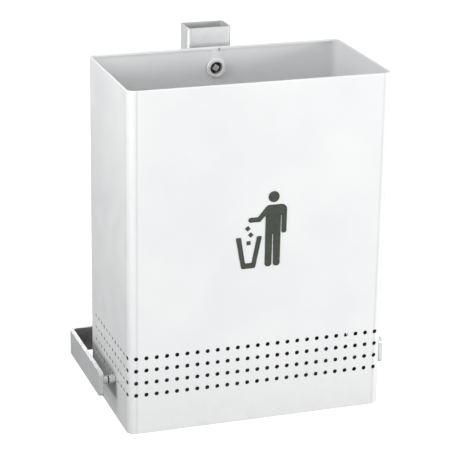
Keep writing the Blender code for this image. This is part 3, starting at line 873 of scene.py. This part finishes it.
def make_bin_sheet():
    cutters = [moved(rod(SPIGOT_RADIUS + GAP, -REACH, REACH), side_place(side)) for side in (1, -1)]
    cutters.append(lock_bore())
    high = RIM - RIM_BRIDGE
    notch = plate(slot_outline(NOTCH_SIZE[0] / 2, high - NOTCH_SIZE[1], high, NOTCH_CORNER), -REACH, REACH)
    cutters.append(moved(notch, Matrix.Translation((NOTCH_X, REAR, 0)) @ UPRIGHT))
    cutters.append(block((-SEAM_WIDTH / 2, REAR - SEAM_DEPTH, FOOT - PAST),
                         (SEAM_WIDTH / 2, REAR + PAST, RIM - HEM_HEIGHT - SEAM_SHORT)))
    show("bin_sheet", cut(sheet_mesh(), cutters), "white_coat", "bin", "bin_shell")


def make_lap_strip():
    """The strip behind the seam, welded to the inside of the rear wall and bored for the lock."""
    face = REAR - SHEET
    low = (-LAP_WIDTH / 2, face - LAP_THICK, FLOOR_HIGH.z + LAP_ABOVE_PAN)
    high = (LAP_WIDTH / 2, face + LAP_SUNK, RIM - HEM_HEIGHT + LAP_SUNK)
    strip = bevelled(block(low, high), LAP_EDGE, 2)
    half = NOTCH_SIZE[0] / 2
    notch = block((NOTCH_X - half, face - REACH, RIM - RIM_BRIDGE - NOTCH_SIZE[1]),
                  (NOTCH_X + half, face + REACH, RIM))
    show("lap_strip", cut(strip, [lock_bore(), notch]), "white_coat", "bin")


def make_floor_pan():
    """A pan with its edge turned down through a soft bend, and four drains."""
    depth = FLOOR_HIGH.z - FLOOR_LOW.z
    pan = Outline(FLOOR_HIGH.x - FLOOR_LOW.x, FLOOR_HIGH.y - FLOOR_LOW.y, CORNER - SHEET - GAP,
                  (FLOOR_HIGH.y + FLOOR_LOW.y) / 2)
    section = [(0.0, 0.0)] + arc((PAN_EDGE, depth - PAN_EDGE), PAN_EDGE, 180, 90, 5)
    form = bmesh.new()
    rings = []
    stations = pan.stations(10)
    for inset, height in section:
        spots = [(*pan.at(along, inset), FLOOR_LOW.z + height) for along in stations]
        rings.append([form.verts.new(spot) for spot in spots])
    for ring, after in zip(rings, rings[1:]):
        for i in range(len(stations)):
            j = (i + 1) % len(stations)
            form.faces.new((ring[i], ring[j], after[j], after[i]))
    form.faces.new(rings[-1])
    mesh = bpy.data.meshes.new("floor_pan")
    form.to_mesh(mesh)
    form.free()
    mesh = settled(mesh, "SOLIDIFY", thickness=PAN_SHEET, offset=-1, use_even_offset=True)
    drains = []
    middle = (FLOOR_HIGH.y + FLOOR_LOW.y) / 2
    for x, y in ((1, 1), (-1, 1), (-1, -1), (1, -1)):
        spot = (x * DRAIN_SPREAD[0], middle + y * DRAIN_SPREAD[1], FLOOR_HIGH.z)
        drains.append(moved(rod(DRAIN_RADIUS, -REACH, REACH), Matrix.Translation(spot)))
    show("floor_pan", cut(mesh, drains), "white_coat", "bin", "bin_floor")


# Bracket

def make_wall_post():
    post = Outline(POST_HIGH.x - POST_LOW.x, POST_HIGH.y - POST_LOW.y, POST_CORNER,
                   (POST_HIGH.y + POST_LOW.y) / 2)
    low = POST_LOW.z
    high = POST_HIGH.z
    lip = POST_LIP
    section = arc((lip, low + lip), lip, 270, 180, 3)
    section += arc((lip, high - lip), lip, 180, 90, 3)
    section += arc((POST_WALL - lip, high - lip), lip, 90, 0, 3)
    section += arc((POST_WALL - lip, low + lip), lip, 0, -90, 3)
    tube = mesh_from(loft(post, post.stations(9), section))
    front = POST_LOW.y
    through_front = (front - PAST, front + POST_WALL + PAST)
    towards_wall = Matrix.Rotation(-math.pi / 2, 4, "X")
    cutters = []
    for height in FIXING_HEIGHTS:
        place = Matrix.Translation((0, 0, height)) @ towards_wall
        cutters.append(moved(rod(ACCESS_RADIUS, *through_front, 48), place))
        cutters.append(moved(rod(FIXING_RADIUS, -POST_WALL - PAST, PAST), place))
    for x in (-BUFFER_X, BUFFER_X):
        place = Matrix.Translation((x, 0, LOCK.z - BUFFER_BELOW_LOCK)) @ towards_wall
        cutters.append(moved(rod(STEM_RADIUS + GAP, *through_front), place))
    slot = plate(slot_outline(SLOT_HALF_WIDTH, -SLOT_BELOW, SLOT_ABOVE, SLOT_CORNER), -POST_WALL - PAST, PAST)
    cutters.append(moved(slot, Matrix.Translation((0, front, LOCK.z)) @ UPRIGHT))
    show("wall_post", cut(tube, cutters), "grey_coat", "bracket", "back_post")


def arm_end(side):
    """The rounded front end of an arm: place on its outer face and half its height."""
    half = (YOKE_HIGH.z - YOKE_LOW.z) / 2
    stations = []
    for angle in range(0, 91, 15):
        along = BAR_END_CORNER * (1 - math.cos(math.radians(angle)))
        height = half - BAR_END_CORNER * (1 - math.sin(math.radians(angle)))
        stations.append((side * YOKE_HIGH.x, BAR_END_Y + along, height))
    return stations


def make_yoke():
    """One flat bar from the right arm's end round the back of the bin to the left arm's end."""
    half = (YOKE_HIGH.z - YOKE_LOW.z) / 2
    middle = (YOKE_HIGH.z + YOKE_LOW.z) / 2
    bend_x = YOKE_HIGH.x - BAR_BEND
    bend_y = YOKE_HIGH.y - BAR_BEND
    stations = arm_end(1)
    for side, start in ((1, 0), (-1, 90)):
        corner = arc((side * bend_x, bend_y), BAR_BEND, start, start + 90, 10)
        stations += [(x, y, half) for x, y in corner]
    stations += reversed(arm_end(-1))
    form = bmesh.new()
    pairs = [(form.verts.new((x, y, middle - h)), form.verts.new((x, y, middle + h))) for x, y, h in stations]
    for (low, high), (next_low, next_high) in zip(pairs, pairs[1:]):
        form.faces.new((low, next_low, next_high, high))
    strip = bpy.data.meshes.new("yoke")
    form.to_mesh(strip)
    form.free()
    bar = settled(strip, "SOLIDIFY", thickness=BAR_THICK, offset=-1, use_even_offset=True)
    yoke = show("yoke", bevelled(bar, BAR_EDGE), "grey_coat", "bracket", "yoke_bar")
    # Painted shade: this copy of the grey coat is painted dark on the side facing the bin
    yoke.data.materials[0] = grey_metal_coat("yoke_coat_painted_shade", (0.0, 0.12), painted_shade=True)


def weld_bead(name, start, end, toe_a, toe_b):
    """A rippled fillet, thinner at its start and end; the toes are the directions of its two legs."""
    form = bmesh.new()
    run = end - start
    count = max(8, round(run.length / WELD_RIPPLE) * 4)
    rings = []
    for i in range(count + 1):
        t = i / count
        ends = min(1.0, math.sqrt(max(0.0, min(t, 1 - t)) * run.length / WELD_LEG) + 0.15)
        ripple = 1 + 0.10 * abs(math.sin(math.pi * t * run.length / WELD_RIPPLE))
        leg = WELD_LEG * ends * ripple
        spot = start.lerp(end, t)
        ring = [spot - (toe_a + toe_b) * WELD_SUNK]
        for a in range(0, 91, 18):
            angle = math.radians(a)
            swell = 0.78 + 0.22 * abs(math.cos(2 * angle))
            ring.append(spot + (toe_a * math.cos(angle) + toe_b * math.sin(angle)) * leg * swell)
        rings.append([form.verts.new(point) for point in ring])
    size = len(rings[0])
    for ring, after in zip(rings, rings[1:]):
        for i in range(size):
            j = (i + 1) % size
            form.faces.new((ring[i], ring[j], after[j], after[i]))
    form.faces.new(rings[0])
    form.faces.new(list(reversed(rings[-1])))
    show(name, mesh_from(form), "grey_coat", "bracket", sharp=80)


def make_post_welds():
    """Beads above and below the bar's middle, where it meets the post's front."""
    half = POST_HIGH.x - POST_CORNER - WELD_SHORT
    y = POST_LOW.y
    out = Vector((0, -1, 0))
    for label, z, up in (("upper", YOKE_HIGH.z, 1), ("lower", YOKE_LOW.z, -1)):
        weld_bead(f"post_weld_{label}", Vector((-half, y, z)), Vector((half, y, z)), out, Vector((0, 0, up)))


def thread(radius, start, end):
    """The crests and roots of a thread along a rod, from one height down to another."""
    turns = int((start - end) / THREAD_PITCH)
    points = []
    for i in range(turns):
        z = start - i * THREAD_PITCH
        points.append((radius - THREAD_DEPTH, z))
        points += [(radius, z - THREAD_PITCH * share) for share in THREAD_CREST]
    points.append((radius - THREAD_DEPTH, start - turns * THREAD_PITCH))
    return points


def make_pivot(side, label):
    place = side_place(side)
    bore = SCREW_RADIUS + GAP / 2
    bush = softened((
        (BUSH_RADIUS, BUSH_LENGTH, 0.0009), (BUSH_RADIUS, GAP, 0.0003), (SPIGOT_RADIUS, GAP, 0),
        (SPIGOT_RADIUS, -SPIGOT_DEPTH, 0.0002), (bore, -SPIGOT_DEPTH, 0.0002), (bore, BUSH_LENGTH, 0.0003),
    ), 4)
    show(f"bush_{label}", lathe(bush, True), "zinc_steel", "bin", f"pivot_bush_{label}", place=place)

    low = BUSH_LENGTH + GAP
    high = low + WASHER_THICK
    washer = softened(((WASHER_RADIUS, high, 0.0002), (WASHER_RADIUS, low, 0.0002), (bore, low, 0),
                       (bore, high, 0)), 3)
    show(f"washer_{label}", lathe(washer, True), "dark_nylon", "bracket", f"pivot_washer_{label}",
         place=place)

    boss_low = high + GAP
    boss_high = STANDOFF - GAP
    boss = softened(((BOSS_RADIUS, boss_high, 0), (BOSS_RADIUS, boss_low, 0.0006), (bore, boss_low, 0.0002),
                     (bore, boss_high, 0)), 4)
    show(f"boss_{label}", lathe(boss, True), "zinc_steel", "bracket", f"pivot_boss_{label}", place=place)

    bead = [(BOSS_RADIUS - WELD_SUNK, STANDOFF + WELD_SUNK)]
    bead += arc((BOSS_RADIUS, STANDOFF), BOSS_WELD, 0, -90, 5)
    bead += [(BOSS_RADIUS - WELD_SUNK, STANDOFF - BOSS_WELD + GAP)]
    show(f"boss_weld_{label}", lathe(bead, True), "grey_coat", "bracket", place=place)

    seat = -SPIGOT_DEPTH - 2 * GAP
    tip = boss_high - 2 * GAP
    top = seat - HEAD_HEIGHT
    screw = softened((
        (0, tip, 0), (SCREW_RADIUS, tip, 0.0005), (SCREW_RADIUS, seat, 0), (HEAD_RADIUS, seat, 0.0004),
        (HEAD_RADIUS, top, 0.0020), (0, top, 0),
    ), 5, closed=False)
    socket = rod(SOCKET_SIZE / math.sqrt(3), top - PAST, seat - HEAD_HEIGHT / 2, 6)
    mesh = cut(lathe(screw, False), [socket])
    show(f"screw_{label}", mesh, "zinc_steel", "bracket", f"pivot_screw_{label}", place=place)


def make_buffer(side, label):
    place = Matrix.Translation((side * BUFFER_X, POST_LOW.y, LOCK.z - BUFFER_BELOW_LOCK)) @ UPRIGHT
    top = POST_LOW.y - REAR - GAP
    profile = softened((
        (0, top, 0), (0.0035, top, 0.0006), (0.0040, top - 0.0006, 0.0004),
        (BUFFER_RADIUS, top - 0.0012, 0.0024), (BUFFER_RADIUS, GAP, 0.0008), (STEM_RADIUS, GAP, 0),
        (STEM_RADIUS, -STEM_LENGTH, 0.0010), (0, -STEM_LENGTH, 0),
    ), 5, closed=False)
    show(f"buffer_{label}", lathe(profile, False), "black_rubber", "bracket", f"rest_buffer_{label}",
         place=place)


# Lock, in heights along its axis towards the inside of the bin

def height_of(y):
    return LOCK.y - y


def make_barrel():
    """Rounded flange, threaded barrel and the wide recess for the key."""
    end = height_of(POST_LOW.y - BARREL_SHORT)
    floor = FLANGE_THICK - RECESS_DEPTH
    bore = SHAFT_RADIUS + LOCK_FIT
    top = FLANGE_THICK + GAP
    outside = softened((
        (RECESS_RADIUS, top, 0), (FLANGE_RADIUS, top, 0.0016), (FLANGE_RADIUS, GAP, 0.0005),
        (BARREL_RADIUS, GAP, 0), (BARREL_RADIUS, height_of(REAR), 0),
    ), 6, closed=False)[1:]
    inside = softened((
        (BARREL_RADIUS - THREAD_DEPTH, end, 0), (bore, end, 0), (bore, floor, 0), (RECESS_RADIUS, floor, 0),
        (RECESS_RADIUS, top, 0.0008), (FLANGE_RADIUS, top, 0),
    ), 4, closed=False)[:-1]
    profile = outside + thread(BARREL_RADIUS, height_of(REAR), end + 0.0002) + inside
    show("barrel", lathe(profile, True, 72), "lock_chrome", "bin", "lock_housing", place=lock_place())


def make_hex_nut():
    top = height_of(REAR + GAP)
    low = top - NUT_THICK
    across = NUT_FLATS / math.sqrt(3)
    crown = (across - NUT_FLATS / 2) * 0.55
    chamfer = [(0, top), (NUT_FLATS / 2 - 0.0002, top), (across, top - crown), (across, low + crown),
               (NUT_FLATS / 2 - 0.0002, low), (0, low)]
    body = rod(across, low, top, 6)
    body = combined(body, [lathe(chamfer, False, 72)], "INTERSECT")
    body = cut(body, [rod(BARREL_RADIUS + GAP, low - PAST, top + PAST, 48)])
    show("hex_nut", body, "zinc_steel", "bin", "lock_nut", place=lock_place(), sharp=20)


def make_driver():
    """Disc and square key post in the recess, a shaft, and a square tail for the cam."""
    floor = FLANGE_THICK - RECESS_DEPTH + LOCK_FIT
    key_top = FLANGE_THICK - KEY_BELOW_FLANGE
    shaft_end = height_of(CAM_FACE) + LOCK_FIT
    tail_end = height_of(CAM_FACE + CAM_THICK)
    disc = RECESS_RADIUS - LOCK_FIT
    disc_top = floor + DISC_THICK
    profile = softened((
        (0, disc_top, 0), (disc, disc_top, 0.0004), (disc, floor, 0),
        (SHAFT_RADIUS, floor, 0), (SHAFT_RADIUS, shaft_end, 0.0003), (0, shaft_end, 0),
    ), 4, closed=False)
    body = lathe(profile, False, 64)
    half = TAIL_SIZE / 2
    tail = bevelled(block((-half, -half, tail_end), (half, half, shaft_end + TAIL_SUNK)), 0.0004, 2)
    body = combined(body, [tail], "UNION")
    bore = rod(CAM_SCREW_RADIUS + LOCK_FIT, tail_end - PAST, tail_end + CAM_SCREW_LENGTH)
    body = cut(body, [bore])
    show("driver", body, "dark_steel", "lock", "lock_driver", place=lock_place())
    half = KEY_SIZE / 2
    key = bevelled(block((-half, -half, disc_top - KEY_SUNK), (half, half, key_top), KEY_TURN), 0.0006)
    post = show("key_post", key, "dark_steel", "lock", place=lock_place())
    post.data.materials[0] = worn_key_steel()


def make_cam():
    reach = CAM_REACH - CAM_HALF_WIDTH
    outline = arc((0, 0), CAM_HALF_WIDTH, 0, 180, 20)
    outline += arc((0, -reach), CAM_HALF_WIDTH, 180, 360, 20)
    low = height_of(CAM_FACE + CAM_THICK)
    high = height_of(CAM_FACE)
    half = TAIL_SIZE / 2 + LOCK_FIT
    tongue = bevelled(plate(outline, low, high), 0.0003, 2)
    hole = block((-half, -half, low - PAST), (half, half, high + PAST))
    show("cam", cut(tongue, [hole]), "zinc_steel", "lock", "lock_cam", place=lock_place())

    face = low - GAP
    back = face - WASHER_THICK
    bore = CAM_SCREW_RADIUS + LOCK_FIT
    washer = softened(((CAM_WASHER_RADIUS, face, 0.0002), (CAM_WASHER_RADIUS, back, 0.0002),
                       (bore, back, 0.0001), (bore, face, 0.0001)), 3)
    show("small_washer", lathe(washer, True), "zinc_steel", "lock", "cam_washer", place=lock_place())

    head_radius, head_height = CAM_SCREW_HEAD
    seat = back - GAP
    tip = seat + CAM_SCREW_LENGTH
    bottom = seat - head_height
    screw = softened((
        (0, tip, 0), (CAM_SCREW_RADIUS, tip, 0.0004), (CAM_SCREW_RADIUS, seat, 0),
        (head_radius, seat, 0.0003), (head_radius, bottom, 0.0014), (0, bottom, 0),
    ), 5, closed=False)
    x, y, depth = CROSS_SLOT
    cross = [block((-x, -y, bottom - PAST), (x, y, bottom + depth), turn) for turn in (0.0, math.pi / 2)]
    mesh = cut(lathe(screw, False, 40), cross)
    show("small_screw", mesh, "zinc_steel", "lock", "cam_screw", place=lock_place())


# Pictogram

def sign_plate(name, outline, node):
    place = Matrix.Translation((SIGN_MIDDLE, FRONT - GAP, FOOT + SIGN_HEIGHT)) @ UPRIGHT
    film = bevelled(plate(outline, 0, SIGN_THICK), SIGN_EDGE, 1)
    show(name, film, "sign_ink", "bin", node, place=place)


def make_sign():
    centre, radius = HEAD_DISC
    sign_plate("figure_head", arc(centre, radius, 0, 360, 64)[:-1], "sign_head")
    sign_plate("figure_body", softened(FIGURE, 8), "sign_body")
    sign_plate("basket", softened(BASKET, 6), "sign_basket")
    for i, (x, y, turn) in enumerate(LITTER):
        corners = arc((x, y), LITTER_SIZE / math.sqrt(2), turn + 45, turn + 315, 3)
        square = softened([(*corner, 0.0005) for corner in corners], 4)
        sign_plate(f"litter_{i + 1}", square, f"sign_litter_{i + 1}")


# Stage

def soft_light(name, spot, target, size, power):
    data = bpy.data.lights.new(name, "AREA")
    data.shape = "RECTANGLE"
    data.size, data.size_y = size
    data.energy = power
    light = bpy.data.objects.new(name, data)
    bpy.context.scene.collection.objects.link(light)
    light.location = spot
    light.rotation_euler = (Vector(target) - Vector(spot)).to_track_quat("-Z", "Y").to_euler()
    light.visible_camera = False
    return light


def make_stage():
    form = bmesh.new()
    bmesh.ops.create_grid(form, x_segments=8, y_segments=8, size=GROUND_SIZE / 2)
    bmesh.ops.translate(form, vec=(0, 0, -GROUND_DROP), verts=form.verts)
    ground = bpy.data.objects.new("ground", bpy.data.meshes.new("ground"))
    form.to_mesh(ground.data)
    form.free()
    ground.data.materials.append(pale_floor())
    bpy.context.scene.collection.objects.link(ground)
    ground.visible_diffuse = False
    ground.visible_glossy = False
    ground.visible_shadow = False
    make_sky()
    lights = {name: soft_light(name, *facts) for name, facts in LIGHTS.items()}
    lights["post_edge"].data.spread = POST_EDGE_SPREAD
    lights["sheen"].visible_diffuse = False


def make_sky():
    """Soft light from all round, strongest from one direction and weakest from the opposite one."""
    world = bpy.data.worlds.new("studio")
    world.use_nodes = True
    nodes = world.node_tree.nodes
    links = world.node_tree.links
    towards = nodes.new("ShaderNodeVectorMath")
    towards.operation = "DOT_PRODUCT"
    towards.inputs[1].default_value = Vector(SKY_TOWARDS).normalized()
    links.new(nodes.new("ShaderNodeTexCoord").outputs["Generated"], towards.inputs[0])
    level = nodes.new("ShaderNodeMapRange")
    ends = {"From Min": -1, "From Max": 1, "To Min": SKY_WEAKEST, "To Max": SKY_STRONGEST}
    for name, value in ends.items():
        level.inputs[name].default_value = value
    links.new(towards.outputs["Value"], level.inputs["Value"])
    links.new(level.outputs["Result"], nodes["Background"].inputs["Strength"])
    nodes["Background"].inputs["Color"].default_value = (1, 1, 1, 1)
    bpy.context.scene.world = world


def make_camera():
    """Looks at the bin from the front left and above, tilted slightly clockwise."""
    a, e = CAMERA_AZIMUTH, CAMERA_ELEVATION
    back = Vector((math.sin(a) * math.cos(e), -math.cos(a) * math.cos(e), math.sin(e)))
    right = Vector((0, 0, 1)).cross(back).normalized()
    up = back.cross(right)
    right, up = (right * math.cos(CAMERA_ROLL) + up * math.sin(CAMERA_ROLL),
                 up * math.cos(CAMERA_ROLL) - right * math.sin(CAMERA_ROLL))
    data = bpy.data.cameras.new("camera")
    data.lens = CAMERA_LENS
    data.sensor_width = CAMERA_SENSOR
    data.clip_end = 500
    camera = bpy.data.objects.new("camera", data)
    bpy.context.scene.collection.objects.link(camera)
    camera.matrix_world = (Matrix.Translation(CAMERA_TARGET + back * CAMERA_DISTANCE)
                           @ Matrix((right, up, back)).transposed().to_4x4())
    bpy.context.scene.camera = camera
    bpy.context.scene.view_settings.view_transform = "Standard"


make_bin_sheet()
make_lap_strip()
make_floor_pan()
make_wall_post()
make_yoke()
make_post_welds()
for side, label in ((1, "right"), (-1, "left")):
    make_pivot(side, label)
    make_buffer(side, label)
make_barrel()
make_hex_nut()
make_driver()
make_cam()
make_sign()
make_stage()
make_camera()
